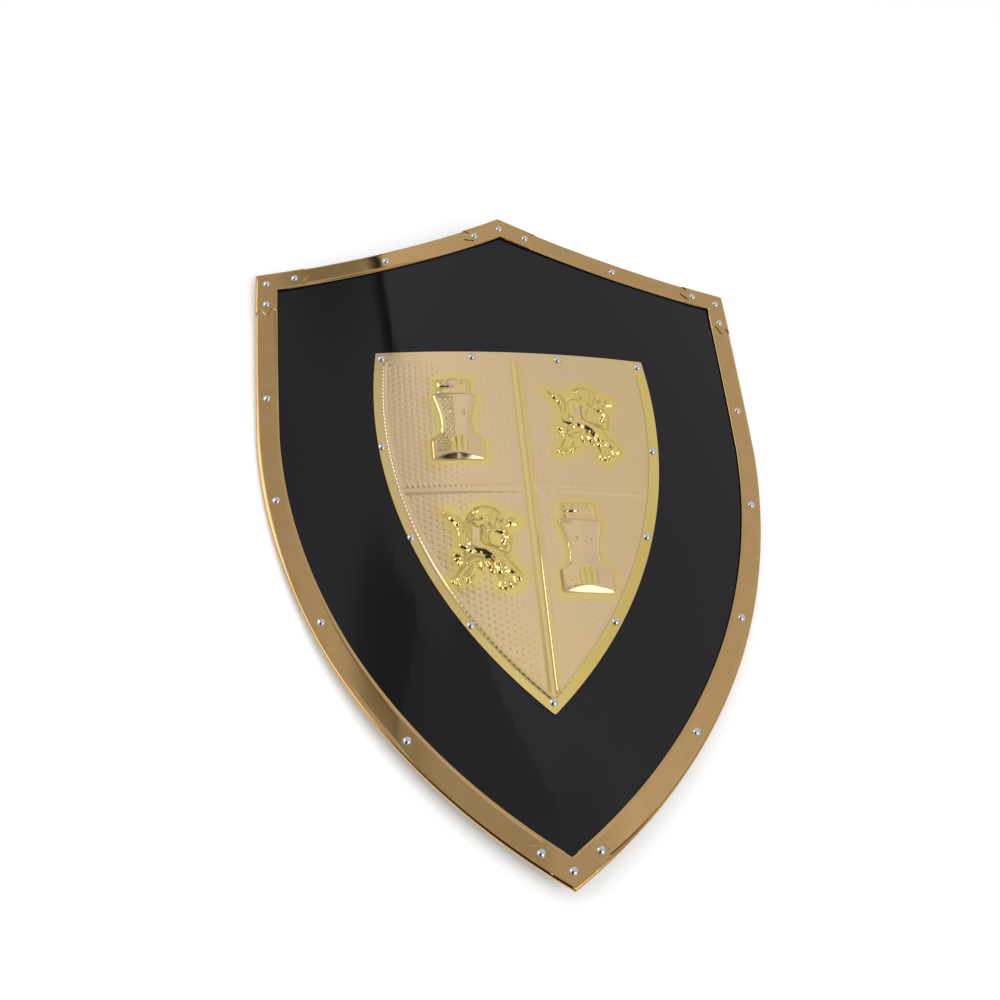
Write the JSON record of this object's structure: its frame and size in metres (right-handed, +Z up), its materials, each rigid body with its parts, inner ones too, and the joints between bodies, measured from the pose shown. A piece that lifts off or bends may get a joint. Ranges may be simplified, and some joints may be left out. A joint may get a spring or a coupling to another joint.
{
  "type": "heater shield",
  "caption": "Curved black heater shield with a riveted gilt rim and an embossed gilt plate of castles and rampant lions; lies face up.",
  "frame": {"origin": "centre of the bounding box, at the floor", "axes": "+Y towards the shield's peaked top, +Z up out of its front face, +X to the viewer's right; it lies face up on its two long edges"},
  "size_m": [0.4742, 0.6534, 0.0435],
  "materials": {
    "black_paint": "satin black paint with a faint fine grain",
    "gilt_rim": "polished gilt strip, mirror-like with faint waves",
    "gilt_plate": "bright gilt sheet, stippled ground with polished reliefs",
    "nickel": "bright nickel"
  },
  "bodies": {
    "root": {"body_sheet": "black_paint", "rim_strip_top_right": "gilt_rim", "rim_strip_side_right": "gilt_rim", "rim_corner_right": "gilt_rim", "rim_strip_top_left": "gilt_rim", "rim_strip_side_left": "gilt_rim", "rim_corner_left": "gilt_rim", "rim_corner_peak": "gilt_rim", "rim_corner_tip": "gilt_rim", "face_plate": "gilt_plate", "rivet_rim_01": "nickel", "rivet_rim_02": "nickel", "rivet_rim_03": "nickel", "rivet_rim_04": "nickel", "rivet_rim_05": "nickel", "rivet_rim_06": "nickel", "rivet_rim_07": "nickel", "rivet_rim_08": "nickel", "rivet_rim_09": "nickel", "rivet_rim_10": "nickel", "rivet_rim_11": "nickel", "rivet_rim_12": "nickel", "rivet_rim_13": "nickel", "rivet_rim_14": "nickel", "rivet_rim_15": "nickel", "rivet_rim_16": "nickel", "rivet_rim_17": "nickel", "rivet_rim_18": "nickel", "rivet_rim_19": "nickel", "rivet_rim_20": "nickel", "rivet_rim_21": "nickel", "rivet_rim_22": "nickel", "rivet_plate_01": "nickel", "rivet_plate_02": "nickel", "rivet_plate_03": "nickel", "rivet_plate_04": "nickel", "rivet_plate_05": "nickel", "rivet_plate_06": "nickel", "rivet_plate_07": "nickel", "rivet_plate_08": "nickel", "rivet_plate_09": "nickel", "rivet_plate_10": "nickel", "rivet_plate_11": "nickel"}
  },
  "joints": []
}
